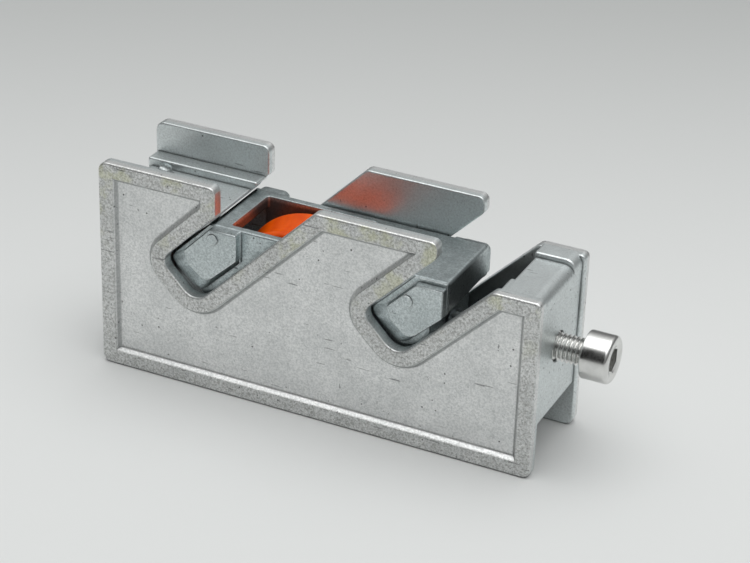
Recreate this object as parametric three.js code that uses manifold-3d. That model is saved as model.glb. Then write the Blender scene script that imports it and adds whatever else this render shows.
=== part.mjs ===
// Adjustable sliding door roller: a die-cast housing with two 45 degree slots, a wheel carrier
// that climbs them, a wheel on a ball bearing, and the screw that sets the height.
// Millimetres. X runs from the closed end to the screw, Y from front to back, Z up.
// The origin is the centre of the footprint of the whole part, on the plane it stands on.
import * as THREE from 'three';
import { mergeVertices } from 'three/addons/utils/BufferGeometryUtils.js';
import Module from 'manifold-3d';

const wasm = await Module();
wasm.setup();

// ---- driving dimensions -------------------------------------------------------------------
const LENGTH = 85;            // housing, end to end
const HEIGHT = 40.5;          // housing, to the top of the tall lands
const WIDTH = 22.6;           // over both side plates
const PLATE = 2.5;            // side plate thickness
const RIM = 2.8;              // width of the raised rim round each plate
const RECESS = 0.8;           // depth of the panel inside the rim
const LOW_LAND = 34;          // height of the plates beside the screw
const LEFT_LAND = 23.6;       // length of the tall land at the closed end
const HUMP_RIGHT = 65.9;      // right face of the middle hump

const SLOT_PITCH = 39.75;     // distance between the two slots
const SLOT_UPPER = 11.4;      // slot 1 upper wall lies on z - x = this
const SLOT_LOWER = -2.6;      // slot 1 lower wall lies on z - x = this
const SLOT_END = 36.4;        // slot 1 closed end lies on x + z = this

const WEB_TOP = 33.2;         // floor of the web at the closed end
const WEB_THICK = 3.2;
const LEDGE_TOP = 34.6;       // raised strip along the back plate
const LEDGE_Y = 5.4;          // front edge of that strip
const WALL_BOTTOM = 8.8;      // rail passage under the end walls
const WALL_SETBACK = 0.5;     // end walls sit this far inside the plate ends
const WALL_THICK = 4.5;
const BLOCK_TOP = 33.4;       // top of the block at the screw end
const BLOCK_LEFT = 77;
const FIXING_SLOT = { x: 4.75, width: 5, length: 9.4 };

const CARRIER_HALF = 8.3;     // half width over the carrier cheeks
const CHEEK = 1.6;            // cheek thickness
const CARRIER_TOP = 32;
const CARRIER_BOTTOM = 8;
const CARRIER_ROOF = 2.2;     // thickness of the carrier's top plate
const CARRIER_UPPER = 10.2;   // carrier's sloping left face lies on z - x = this
const CARRIER_FOOT = 37.2;    // carrier's lower left face lies on x + z = this
const CARRIER_END = 64.2;     // face the screw pushes on
const CARRIER_LIP = 67.2;     // right face of the lip over the screw
const LIP_BOTTOM = 26.3;      // underside of that lip at its tip
const WINDOW = { x0: 24.6, x1: 46.6, half: 6.7 };
const RIB_LEFT = 51.5;        // cross rib between the wheel pocket and the end pocket
const RIB_RIGHT = 54;
const TRUNNION_FACE = 10.5;   // outer face of each trunnion, from the middle plane

const AXLE_X = 35.6;
const AXLE_Z = 17.2;
const AXLE_R = 3.7;
const WHEEL_R = 14.5;
const WHEEL_HALF = 5;         // half width of the tyre
const GROOVE_DEPTH = 1.1;     // running groove in the tread

const BALLS = 7;
const BALL_R = 1.985;
const BALL_CIRCLE = 7.5;      // radius of the circle of ball centres
const BEARING_R = 11;
const BEARING_HALF = 3.5;
const BORE_R = 4;
const RACE_GAP = 0.15;        // room between balls and raceways

const SCREW_Z = 20.6;
const THREAD_R = 2.5;         // M5
const THREAD_PITCH = 0.8;
const THREAD_ROOT = THREAD_R - 0.45;
const HEAD_R = 4.3;
const HEAD_LENGTH = 5;
const HEAD_SEAT = 89.7;       // x of the underside of the head
const HEX_ACROSS = 4;
const INSERT_R = 3.4;
const GAP = 0.3;              // clearance between pieces that touch

const FAR_END = HEAD_SEAT + HEAD_LENGTH;
const PLATE_IN = WIDTH / 2 - PLATE;
const SEGMENTS = 40;

// ---- geometry helpers -----------------------------------------------------------------------
/** Turn a closed three.js geometry into a manifold solid. */
function solid(geometry) {
  const bare = geometry.clone();
  bare.deleteAttribute('normal');
  bare.deleteAttribute('uv');
  const merged = mergeVertices(bare, 1e-4);
  return new wasm.Manifold(new wasm.Mesh({
    numProp: 3,
    vertProperties: Float32Array.from(merged.attributes.position.array),
    triVerts: Uint32Array.from(merged.index.array),
  }));
}

/** Turn a manifold solid back into a three.js geometry. */
function geometryOf(body) {
  const mesh = body.getMesh();
  const geometry = new THREE.BufferGeometry();
  geometry.setAttribute('position', new THREE.BufferAttribute(Float32Array.from(mesh.vertProperties), 3));
  geometry.setIndex(new THREE.BufferAttribute(Uint32Array.from(mesh.triVerts), 1));
  return geometry;
}

const union = (parts) => parts.reduce((whole, part) => whole.add(part));
const cut = (body, tools) => tools.reduce((rest, tool) => rest.subtract(tool), body);

/** Box between two corners. */
function box(x0, x1, y0, y1, z0, z1) {
  const geometry = new THREE.BoxGeometry(x1 - x0, y1 - y0, z1 - z0);
  return solid(geometry.translate((x0 + x1) / 2, (y0 + y1) / 2, (z0 + z1) / 2));
}

/** Cylinder along Y at (x, z). */
function cylinderY(x, z, radius, y0, y1, segments = SEGMENTS) {
  const geometry = new THREE.CylinderGeometry(radius, radius, y1 - y0, segments);
  return solid(geometry.translate(x, (y0 + y1) / 2, z));
}

/** Cylinder along X at (y = 0, z). */
function cylinderX(z, radius, x0, x1, segments = SEGMENTS) {
  const geometry = new THREE.CylinderGeometry(radius, radius, x1 - x0, segments);
  return solid(geometry.rotateZ(-Math.PI / 2).translate((x0 + x1) / 2, 0, z));
}

/** Ring of revolution about the Y axis; the profile is a closed list of [radius, y]. */
function ringY(profile, segments = SEGMENTS) {
  const points = [...profile, profile[0]].map(([r, y]) => new THREE.Vector2(r, y));
  return new THREE.LatheGeometry(points, segments);
}

/** Points of an outline whose corners are [x, z, radius], with each corner rounded to its radius. */
function roundCorners(corners, steps = 4) {
  const points = [];
  corners.forEach(([x, z, radius], i) => {
    const corner = new THREE.Vector2(x, z);
    if (!radius) {
      points.push(corner);
      return;
    }
    const before = corners[(i + corners.length - 1) % corners.length];
    const after = corners[(i + 1) % corners.length];
    const back = new THREE.Vector2(before[0] - x, before[1] - z).normalize();
    const ahead = new THREE.Vector2(after[0] - x, after[1] - z).normalize();
    const half = Math.acos(back.dot(ahead)) / 2;
    const middle = back.clone().add(ahead).normalize();
    const centre = corner.clone().addScaledVector(middle, radius / Math.sin(half));
    const from = corner.clone().addScaledVector(back, radius / Math.tan(half)).sub(centre);
    const to = corner.clone().addScaledVector(ahead, radius / Math.tan(half)).sub(centre);
    const turn = Math.atan2(from.cross(to), from.dot(to));
    for (let k = 0; k <= steps; k += 1) {
      points.push(from.clone().rotateAround(new THREE.Vector2(), (turn * k) / steps).add(centre));
    }
  });
  return points;
}

/** Outline moved inwards; corners are counter-clockwise [x, z, radius]. Edges that vanish are dropped. */
function insetCorners(corners, distance) {
  let edges = corners.map(([x, z, radius], i) => {
    const next = corners[(i + 1) % corners.length];
    const along = new THREE.Vector2(next[0] - x, next[1] - z).normalize();
    const start = new THREE.Vector2(x - along.y * distance, z + along.x * distance);
    return { along, start, radius };
  });
  for (;;) {
    const count = edges.length;
    const points = edges.map((edge, i) => {
      const last = edges[(i + count - 1) % count];
      const reach = edge.start.clone().sub(last.start).cross(edge.along) / last.along.cross(edge.along);
      return last.start.clone().addScaledVector(last.along, reach);
    });
    const keep = edges.filter((edge, i) => {
      const span = points[(i + 1) % count].clone().sub(points[i]);
      return span.dot(edge.along) > 0.2;
    });
    if (keep.length === count) {
      return points.map((point, i) => {
        const last = edges[(i + count - 1) % count];
        const convex = last.along.cross(edges[i].along) > 0;
        return [point.x, point.y, convex ? 0 : edges[i].radius + distance];
      });
    }
    edges = keep;
  }
}

/** Prism along Y from an outline of Vector2 points in X and Z. */
function prism(points, y0, y1, bevel = 0) {
  const geometry = new THREE.ExtrudeGeometry(new THREE.Shape(points), {
    depth: y1 - y0,
    bevelEnabled: bevel > 0,
    bevelSize: bevel,
    bevelThickness: bevel,
    bevelSegments: 1,
    curveSegments: 1,
  });
  return solid(geometry.rotateX(Math.PI / 2).translate(0, y1, 0));
}

const mirrorY = (body) => body.mirror([0, 1, 0]);
const corner = (list) => list.map(([x, z]) => new THREE.Vector2(x, z));

// ---- materials --------------------------------------------------------------------------------
function finish(color, roughness, metalness) {
  return new THREE.MeshStandardMaterial({ color, roughness, metalness });
}

const zincLight = finish(0xb4b8b8, 0.42, 0.9);
const zincDark = finish(0x98a0a4, 0.4, 0.9);
const platedSteel = finish(0xd8dad8, 0.2, 1);
const bearingSteel = finish(0xb8bcc0, 0.18, 1);
const orangeNylon = finish(0xe84a10, 0.45, 0);
const blackNylon = finish(0x222426, 0.6, 0);

// ---- housing ------------------------------------------------------------------------------------
/** Corner list of one side plate, counter-clockwise seen from the front. */
function plateCorners() {
  const slotEnd = (shift) => [
    [(SLOT_END - SLOT_LOWER) / 2 + shift, (SLOT_END + SLOT_LOWER) / 2, 3.2],
    [(SLOT_END - SLOT_UPPER) / 2 + shift, (SLOT_END + SLOT_UPPER) / 2, 2.2],
  ];
  return [
    [0, 0, 1.5],
    [LENGTH, 0, 1.5],
    [LENGTH, LOW_LAND, 1],
    [LOW_LAND - SLOT_LOWER + SLOT_PITCH, LOW_LAND, 1.5],
    ...slotEnd(SLOT_PITCH),
    [HUMP_RIGHT, HUMP_RIGHT + SLOT_UPPER - SLOT_PITCH, 1.6],
    [HUMP_RIGHT, HEIGHT, 1],
    [HEIGHT - SLOT_LOWER, HEIGHT, 1.5],
    ...slotEnd(0),
    [LEFT_LAND, LEFT_LAND + SLOT_UPPER, 1],
    [LEFT_LAND, HEIGHT, 1],
    [0, HEIGHT, 1.5],
  ];
}

/** Front side plate: slotted outline, raised rim and bevelled recess. */
function sidePlate() {
  const corners = plateCorners();
  const plate = prism(roundCorners(corners), -WIDTH / 2, -PLATE_IN);
  const panel = roundCorners(insetCorners(corners, RIM + RECESS), 2);
  const tool = prism(panel, -WIDTH / 2 - 2, -WIDTH / 2, RECESS);
  return plate.subtract(tool);
}

/** Web, ledge and wall at the closed end, with the oblong fixing hole. */
function closedEnd() {
  const under = WEB_TOP - WEB_THICK;
  const inner = WALL_SETBACK + WALL_THICK - 1.3;
  const profile = corner([
    [WALL_SETBACK, WALL_BOTTOM],
    [inner, WALL_BOTTOM],
    [inner, under],
    [under - SLOT_UPPER, under],
    [WEB_TOP - SLOT_UPPER, WEB_TOP],
    [WALL_SETBACK, WEB_TOP],
  ]);
  const ledge = corner([
    [0.2, WEB_TOP - 1],
    [WEB_TOP - 1 - SLOT_UPPER, WEB_TOP - 1],
    [LEDGE_TOP - SLOT_UPPER, LEDGE_TOP],
    [0.2, LEDGE_TOP],
  ]);
  const { x, width, length } = FIXING_SLOT;
  const straight = (length - width) / 2;
  const pin = new THREE.CylinderGeometry(width / 2, width / 2, WEB_THICK * 3, 20).rotateX(Math.PI / 2);
  const hole = union([
    solid(pin.clone().translate(x, straight, WEB_TOP)),
    solid(pin.clone().translate(x, -straight, WEB_TOP)),
    box(x - width / 2, x + width / 2, -straight, straight, under - 2, WEB_TOP + 3),
  ]);
  const body = union([
    prism(profile, -PLATE_IN - 0.5, PLATE_IN + 0.5),
    prism(ledge, LEDGE_Y, PLATE_IN + 0.5),
  ]);
  return body.subtract(hole);
}

/** Wall, flange and boss at the screw end. */
function screwEnd() {
  const right = LENGTH - WALL_SETBACK;
  const left = right - WALL_THICK;
  const under = BLOCK_TOP - 3.9;
  const profile = roundCorners([
    [left, WALL_BOTTOM, 0],
    [right, WALL_BOTTOM, 0],
    [right, BLOCK_TOP, 2],
    [BLOCK_LEFT, BLOCK_TOP, 0.4],
    [BLOCK_LEFT, under, 0],
    [left, under, 0],
  ]);
  const step = roundCorners([
    [BLOCK_LEFT - 0.2, BLOCK_TOP - 1, 0],
    [right, BLOCK_TOP - 1, 0],
    [right, BLOCK_TOP + 0.8, 0.6],
    [BLOCK_LEFT - 0.2, BLOCK_TOP + 0.8, 0.3],
  ]);
  const reach = PLATE_IN + 0.5;
  const body = union([
    prism(profile, -reach, reach),
    prism(step, LEDGE_Y + 0.2, reach),
    box(BLOCK_LEFT - 0.7, BLOCK_LEFT + 1, -reach, -3.5, under, BLOCK_TOP),
    cylinderX(SCREW_Z, 6, BLOCK_LEFT, left + 0.5, 24),
  ]);
  return body.subtract(cylinderX(SCREW_Z, INSERT_R + GAP, BLOCK_LEFT - 2, LENGTH + 2, 24));
}

function housing() {
  const plate = sidePlate();
  return geometryOf(union([plate, mirrorY(plate), closedEnd(), screwEnd()]));
}

// ---- wheel carrier ---------------------------------------------------------------------------
/** One front trunnion: a block cut to ride in the slot, its lower left end sloped away. */
function trunnion() {
  const left = 16.3;
  const right = 27.4;
  const upper = SLOT_UPPER - 0.5;
  const lower = SLOT_LOWER + 0.5;
  const outline = roundCorners([
    [left, 19.4, 2.4],
    [19.6, 19.6 + lower, 2.4],
    [right, right + lower, 0.4],
    [right, CARRIER_TOP, 0],
    [CARRIER_TOP - upper, CARRIER_TOP, 0],
    [left, left + upper, 0.8],
  ], 3);
  const block = prism(outline, -TRUNNION_FACE, -CARRIER_HALF + 0.6);
  // sloped end: planes that lean back from the outer face, fanned round the lower left corner
  const depth = TRUNNION_FACE - CARRIER_HALF + 0.4;
  const reach = 3.4;
  const middle = { x: 21.9, z: 26.5 };
  const bevels = [205, 225, 245].map((degrees) => {
    const angle = THREE.MathUtils.degToRad(degrees);
    const x = middle.x + reach * Math.cos(angle);
    const z = middle.z + reach * Math.sin(angle);
    const tool = new THREE.BoxGeometry(12, 30, 30).translate(6, 0, 0);
    tool.rotateZ(-Math.atan2(depth, reach));
    tool.rotateY(-angle);
    return solid(tool.translate(x, -TRUNNION_FACE, z));
  });
  return cut(block, bevels);
}

/** Outline of the carrier's cheeks. */
const carrierOutline = () => roundCorners([
  [(CARRIER_FOOT - CARRIER_UPPER) / 2, (CARRIER_FOOT + CARRIER_UPPER) / 2, 1.5],
  [CARRIER_FOOT - CARRIER_BOTTOM, CARRIER_BOTTOM, 2],
  [CARRIER_END - 3, CARRIER_BOTTOM, 1],
  [CARRIER_END, CARRIER_BOTTOM + 3, 1],
  [CARRIER_END, LIP_BOTTOM - 3, 1],
  [CARRIER_LIP, LIP_BOTTOM, 0.5],
  [CARRIER_LIP, CARRIER_TOP, 0.6],
  [CARRIER_TOP - CARRIER_UPPER, CARRIER_TOP, 0.4],
], 3);

function carrier() {
  const roof = CARRIER_TOP - CARRIER_ROOF;
  const inside = CARRIER_HALF - CHEEK;
  const slopingWall = 2.5 * Math.SQRT2;
  const pocketLeft = roof - CARRIER_UPPER + slopingWall;
  const wheelPocket = prism(corner([
    [pocketLeft, roof],
    [pocketLeft - 22, roof - 22],
    [10, -1],
    [RIB_LEFT, -1],
    [RIB_LEFT, roof],
  ]), -inside, inside);
  const endPocket = box(RIB_RIGHT, CARRIER_END - 3, -inside, inside, -1, roof);
  const window = box(WINDOW.x0, WINDOW.x1, -WINDOW.half, WINDOW.half, roof - 1, CARRIER_TOP + 1);
  const pegs = [0, SLOT_PITCH].map((shift) => trunnion().translate([shift, 0, 0]));
  const shell = prism(carrierOutline(), -CARRIER_HALF, CARRIER_HALF);
  const body = union([shell, ...pegs, ...pegs.map(mirrorY)]);
  const axleHole = cylinderY(AXLE_X, AXLE_Z, AXLE_R + GAP, -20, 20, 32);
  return geometryOf(cut(body, [wheelPocket, endPocket, window, axleHole]));
}

// ---- wheel and bearing, all centred on the axle ---------------------------------------------
/** Arc of profile points round (radius, y), from one angle to another in degrees. */
function arc(radius, y, r, from, to, steps) {
  return Array.from({ length: steps + 1 }, (_, k) => {
    const a = THREE.MathUtils.degToRad(from + ((to - from) * k) / steps);
    return [radius + r * Math.cos(a), y + r * Math.sin(a)];
  });
}

function tyre() {
  const lip = BEARING_R - 0.8;
  const seat = BEARING_R + 0.2;
  const shelf = BEARING_HALF + GAP;
  const round = 0.8;
  const edge = WHEEL_HALF - round;
  return ringY([
    [lip, -WHEEL_HALF + 0.3],
    [lip + 0.3, -WHEEL_HALF],
    ...arc(WHEEL_R - round, -edge, round, -90, 0, 3),
    [WHEEL_R, -WHEEL_HALF + 1.4],
    [WHEEL_R - GROOVE_DEPTH * 0.75, -1.8],
    [WHEEL_R - GROOVE_DEPTH, 0],
    [WHEEL_R - GROOVE_DEPTH * 0.75, 1.8],
    [WHEEL_R, WHEEL_HALF - 1.4],
    ...arc(WHEEL_R - round, edge, round, 0, 90, 3),
    [lip + 0.3, WHEEL_HALF],
    [lip, WHEEL_HALF - 0.3],
    [lip, shelf],
    [seat, shelf],
    [seat, -shelf],
    [lip, -shelf],
  ], 44);
}

function outerRing() {
  const seat = BEARING_HALF - 0.75;
  return ringY([
    [BEARING_R, -BEARING_HALF + 0.3],
    [BEARING_R, BEARING_HALF - 0.3],
    [BEARING_R - 0.3, BEARING_HALF],
    [9.5, BEARING_HALF],
    [9.5, seat],
    [9, seat],
    ...arc(BALL_CIRCLE, 0, BALL_R + RACE_GAP, 45, -45, 6),
    [9, -seat],
    [9.5, -seat],
    [9.5, -BEARING_HALF],
    [BEARING_R - 0.3, -BEARING_HALF],
  ], 32);
}

function innerRing() {
  const shoulder = 6;
  return ringY([
    [BORE_R, -BEARING_HALF],
    [shoulder, -BEARING_HALF],
    ...arc(BALL_CIRCLE, 0, BALL_R + RACE_GAP, 225, 135, 6),
    [shoulder, BEARING_HALF],
    [BORE_R, BEARING_HALF],
  ], 32);
}

/** Crown cage: a ring on one side of the balls, with a pocket round each of them. */
function cage() {
  const ring = solid(ringY([[6.7, -2.75], [8.3, -2.75], [8.3, 0.9], [6.7, 0.9]], 35));
  const pockets = ballAngles().map((angle) => {
    const pocket = new THREE.SphereGeometry(BALL_R + 0.25, 10, 8);
    return solid(pocket.translate(BALL_CIRCLE * Math.cos(angle), 0, BALL_CIRCLE * Math.sin(angle)));
  });
  return geometryOf(cut(ring, pockets));
}

const ballAngles = () => Array.from({ length: BALLS }, (_, k) => (2 * Math.PI * (k + 0.5)) / BALLS);

const shield = (side) => ringY([
  [6.35, side * 3.15 - 0.17],
  [9.25, side * 3.15 - 0.17],
  [9.25, side * 3.15 + 0.17],
  [6.35, side * 3.15 + 0.17],
]);

/** Spacer between a carrier cheek and the inner ring. */
function spacer(side) {
  const near = BEARING_HALF + GAP;
  const far = CARRIER_HALF - CHEEK - GAP;
  const [y0, y1] = side > 0 ? [near, far] : [-far, -near];
  return ringY([[BORE_R, y0], [5.6, y0], [5.6, y1], [BORE_R, y1]], 32);
}

function axlePin() {
  const end = CARRIER_HALF - 0.1;
  const points = [[0, -end], [AXLE_R - 0.5, -end], [AXLE_R, -end + 0.5], [AXLE_R, end - 0.5],
    [AXLE_R - 0.5, end], [0, end]];
  return new THREE.LatheGeometry(corner(points), 32);
}

// ---- adjusting screw -------------------------------------------------------------------------
/** M5 socket head cap screw along X; ring grooves at the thread's pitch stand for its helix. */
function adjustingScrew() {
  const tip = 66.9;
  const pilot = cylinderX(0, 1, tip - 1.4, tip + 1, 16);
  const profile = [];
  profile.push([0, tip], [THREAD_R - 0.7, tip]);
  const turns = Math.floor((HEAD_SEAT - 0.6 - tip) / THREAD_PITCH);
  for (let turn = 0; turn < turns; turn += 1) {
    profile.push([THREAD_R, tip + (turn + 0.5) * THREAD_PITCH]);
    profile.push([THREAD_ROOT, tip + (turn + 1) * THREAD_PITCH]);
  }
  profile.push([THREAD_ROOT, HEAD_SEAT], [HEAD_R - 0.3, HEAD_SEAT], [HEAD_R, HEAD_SEAT + 0.3]);
  profile.push(...arc(HEAD_R - 0.9, FAR_END - 0.9, 0.9, 0, 90, 3), [0, FAR_END]);
  const shaft = new THREE.LatheGeometry(corner(profile), 16).rotateZ(-Math.PI / 2);
  const socket = new THREE.CylinderGeometry(HEX_ACROSS / Math.sqrt(3), HEX_ACROSS / Math.sqrt(3), 5, 6);
  const hex = solid(socket.rotateZ(-Math.PI / 2).translate(FAR_END, 0, 0));
  return geometryOf(solid(shaft).add(pilot).subtract(hex));
}

/** Pressure cap on the screw's tip; it travels with the screw but doesn't turn. */
function thrustCap() {
  const x0 = CARRIER_END + GAP;
  const rim = x0 + 2.1;
  const cap = cylinderX(0, 2.2, x0, rim, 24);
  return geometryOf(cap.subtract(cylinderX(0, 1.3, x0 + 0.7, rim + 1.4, 16)));
}

function threadedInsert() {
  const outer = cylinderX(0, INSERT_R, BLOCK_LEFT + 0.2, LENGTH - WALL_SETBACK + 0.1, 24);
  return geometryOf(outer.subtract(cylinderX(0, THREAD_R + GAP, BLOCK_LEFT - 2, LENGTH + 2, 24)));
}

// ---- assembly -----------------------------------------------------------------------------------
const group = new THREE.Group();
group.position.x = -FAR_END / 2;

function place(name, geometry, material, x = 0, z = 0) {
  const mesh = new THREE.Mesh(geometry, material);
  mesh.name = name;
  mesh.position.set(x, 0, z);
  group.add(mesh);
}

place('housing', housing(), zincLight);
place('threaded_insert', threadedInsert(), platedSteel, 0, SCREW_Z);
place('wheel_carrier', carrier(), zincDark);
place('axle_pin', axlePin(), bearingSteel, AXLE_X, AXLE_Z);
place('axle_spacer_front', spacer(-1), platedSteel, AXLE_X, AXLE_Z);
place('axle_spacer_rear', spacer(1), platedSteel, AXLE_X, AXLE_Z);
place('bearing_inner_ring', innerRing(), bearingSteel, AXLE_X, AXLE_Z);
place('bearing_outer_ring', outerRing(), bearingSteel, AXLE_X, AXLE_Z);
place('bearing_shield_front', shield(-1), platedSteel, AXLE_X, AXLE_Z);
place('bearing_shield_rear', shield(1), platedSteel, AXLE_X, AXLE_Z);
place('bearing_cage', cage(), blackNylon, AXLE_X, AXLE_Z);
ballAngles().forEach((angle, k) => {
  const x = AXLE_X + BALL_CIRCLE * Math.cos(angle);
  const z = AXLE_Z + BALL_CIRCLE * Math.sin(angle);
  place(`bearing_ball_${k + 1}`, new THREE.SphereGeometry(BALL_R, 12, 8), bearingSteel, x, z);
});
place('wheel_tyre', tyre(), orangeNylon, AXLE_X, AXLE_Z);
place('adjusting_screw', adjustingScrew(), platedSteel, 0, SCREW_Z);
place('thrust_cap', thrustCap(), platedSteel, 0, SCREW_Z);

export default group;
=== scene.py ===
"""Adjustable sliding door roller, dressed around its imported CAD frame.

Outlines are given in millimetres from the housing's lower closed end: x along the housing,
y across it from the middle plane (front is negative), z up from the plane it stands on.
"""

import math

import bmesh
import bpy
from mathutils import Matrix, Vector


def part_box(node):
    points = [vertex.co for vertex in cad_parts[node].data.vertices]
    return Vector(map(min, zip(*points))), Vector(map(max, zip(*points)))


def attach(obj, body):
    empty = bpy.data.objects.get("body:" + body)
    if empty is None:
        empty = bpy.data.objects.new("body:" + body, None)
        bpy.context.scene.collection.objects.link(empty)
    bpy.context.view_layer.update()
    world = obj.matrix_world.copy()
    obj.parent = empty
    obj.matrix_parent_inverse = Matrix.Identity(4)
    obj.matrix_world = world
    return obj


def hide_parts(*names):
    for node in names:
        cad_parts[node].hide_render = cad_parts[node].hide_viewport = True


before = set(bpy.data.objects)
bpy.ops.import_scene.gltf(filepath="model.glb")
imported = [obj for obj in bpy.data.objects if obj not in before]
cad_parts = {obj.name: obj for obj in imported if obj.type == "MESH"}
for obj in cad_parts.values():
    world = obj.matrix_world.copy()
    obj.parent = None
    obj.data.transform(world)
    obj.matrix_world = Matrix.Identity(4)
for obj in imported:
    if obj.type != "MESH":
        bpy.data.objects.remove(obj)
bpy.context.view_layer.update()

MM = 0.001
HOUSING_LOW, HOUSING_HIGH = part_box("housing")
DATUM_X = HOUSING_LOW.x


def size_of(node, axis):
    low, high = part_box(node)
    return (high[axis] - low[axis]) / MM


def centre_of(node):
    """Middle of a CAD node, in millimetres from the datum."""
    low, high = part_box(node)
    middle = (low + high) / 2
    return Vector(((middle.x - DATUM_X) / MM, middle.y / MM, middle.z / MM))


# ---- dimensions, in millimetres -------------------------------------------------------------
LENGTH = size_of("housing", 0)
WIDTH = size_of("housing", 1)
HEIGHT = size_of("housing", 2)
OUTER = WIDTH / 2
INNER = OUTER - 2.5
RIM = 2.8
PANEL_DEPTH = 1.0
LOW_LAND = 34.0
LEFT_LAND = 23.6
HUMP_RIGHT = 65.9
SLOT_PITCH = 39.75
SLOT_UPPER = 11.4
SLOT_LOWER = -2.6
SLOT_END = 36.4
WEB_TOP = 33.2
LEDGE_TOP = 34.65
WALL_BOTTOM = 8.8
WALL_FACE = LENGTH - 0.5
BLOCK_TOP = 33.4
BLOCK_LEFT = 77.0

CARRIER_SIDE = 8.3            # half width over the carrier's cheeks
CHEEK = 1.6
RIB_LEFT = 51.5               # cross rib between the wheel pocket and the end pocket
RIB_RIGHT = 54.0
CARRIER_TOP = 32.0
CARRIER_UPPER = 10.2
CARRIER_FOOT = 37.2
CARRIER_BOTTOM = 8.0
CARRIER_END = 64.2
CARRIER_LIP = 67.2
LIP_BOTTOM = 26.3
REAR_TRUNNION_DROP = 0.7      # the screw-end trunnions' faces sit this much lower
WINDOW_LEFT = 24.6
WINDOW_RIGHT = 46.6
WINDOW_HALF = 6.7
TRUNNION_FACE = 10.45

AXLE = centre_of("wheel_tyre")
WHEEL_R = size_of("wheel_tyre", 2) / 2
BEARING_R = size_of("bearing_outer_ring", 2) / 2
BEARING_HALF = size_of("bearing_outer_ring", 1) / 2
BALL_R = size_of("bearing_ball_1", 2) / 2
SCREW_Z = centre_of("adjusting_screw").z
HEAD_R = size_of("adjusting_screw", 2) / 2
SCREW_END = (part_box("adjusting_screw")[1].x - DATUM_X) / MM
HEAD_SEAT = SCREW_END - 5
THREAD_R = 2.5
THREAD_PITCH = 0.8
THREAD_DEPTH = 0.48
HEX_HALF = 2.0                # half the width of the hexagon socket across its flats


# ---- outlines ---------------------------------------------------------------------------------
def rounded(corners, steps=7):
    """Outline from [x, z, radius] corners, each corner rounded to its radius."""
    points = []
    for i, (x, z, radius) in enumerate(corners):
        here = Vector((x, z))
        if not radius:
            points.append(here)
            continue
        back = (Vector(corners[i - 1][:2]) - here).normalized()
        ahead = (Vector(corners[(i + 1) % len(corners)][:2]) - here).normalized()
        half = math.acos(max(-1, min(1, back.dot(ahead)))) / 2
        centre = here + (back + ahead).normalized() * radius / math.sin(half)
        start = here + back * radius / math.tan(half) - centre
        end = here + ahead * radius / math.tan(half) - centre
        turn = math.atan2(start.x * end.y - start.y * end.x, start.dot(end))
        for k in range(steps + 1):
            points.append(Matrix.Rotation(turn * k / steps, 2) @ start + centre)
    return points


def inset(points, distance):
    """Counter-clockwise outline moved inwards, point for point."""
    moved = []
    for i, here in enumerate(points):
        a = (here - points[i - 1]).normalized()
        b = (points[(i + 1) % len(points)] - here).normalized()
        shift = distance / max(0.2, 1 + a.dot(b))
        moved.append(Vector((here.x - (a.y + b.y) * shift, here.y + (a.x + b.x) * shift)))
    return moved


def inset_corners(corners, distance):
    """Corners of the outline moved inwards; edges that vanish on the way are dropped."""
    edges = []
    for i, (x, z, radius) in enumerate(corners):
        ahead = corners[(i + 1) % len(corners)]
        along = (Vector(ahead[:2]) - Vector((x, z))).normalized()
        start = Vector((x, z)) + Vector((-along.y, along.x)) * distance
        edges.append((along, start, radius))

    def cross(a, b):
        return a.x * b.y - a.y * b.x

    while True:
        points = []
        for i, (along, start, _) in enumerate(edges):
            last_along, last_start, _ = edges[i - 1]
            reach = cross(start - last_start, along) / cross(last_along, along)
            points.append(last_start + last_along * reach)
        kept = []
        for i, edge in enumerate(edges):
            if (points[(i + 1) % len(edges)] - points[i]).dot(edge[0]) > 0.2:
                kept.append(edge)
        if len(kept) == len(edges):
            break
        edges = kept
    result = []
    for i, (along, _, radius) in enumerate(edges):
        convex = cross(edges[i - 1][0], along) > 0
        result.append((points[i].x, points[i].y, 0 if convex else radius + distance))
    return result


def plate_corners():
    """Side plate outline, counter-clockwise seen from the front."""
    corners = [
        (0, 0, 1.6),
        (LENGTH, 0, 1.6),
        (LENGTH, LOW_LAND, 1.0),
        (LOW_LAND - SLOT_LOWER + SLOT_PITCH, LOW_LAND, 1.6),
    ]
    hump = [
        (HUMP_RIGHT, HUMP_RIGHT + SLOT_UPPER - SLOT_PITCH, 1.8),
        (HUMP_RIGHT, HEIGHT, 1.3),
        (HEIGHT - SLOT_LOWER, HEIGHT, 1.6),
    ]
    land = [
        (LEFT_LAND, LEFT_LAND + SLOT_UPPER, 1.0),
        (LEFT_LAND, HEIGHT, 1.3),
        (0, HEIGHT, 1.8),
    ]
    for shift, after in ((SLOT_PITCH, hump), (0, land)):
        corners.append(((SLOT_END - SLOT_LOWER) / 2 + shift, (SLOT_END + SLOT_LOWER) / 2, 3.2))
        corners.append(((SLOT_END - SLOT_UPPER) / 2 + shift, (SLOT_END + SLOT_UPPER) / 2, 2.2))
        corners.extend(after)
    return corners


def edge_round(radius, steps=5):
    """(inset, depth) pairs that turn a side wall into a face over a rounded edge."""
    pairs = []
    for k in range(steps + 1):
        angle = math.pi / 2 * k / steps
        pairs.append((radius * (1 - math.cos(angle)), radius * (1 - math.sin(angle))))
    return pairs


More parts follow.
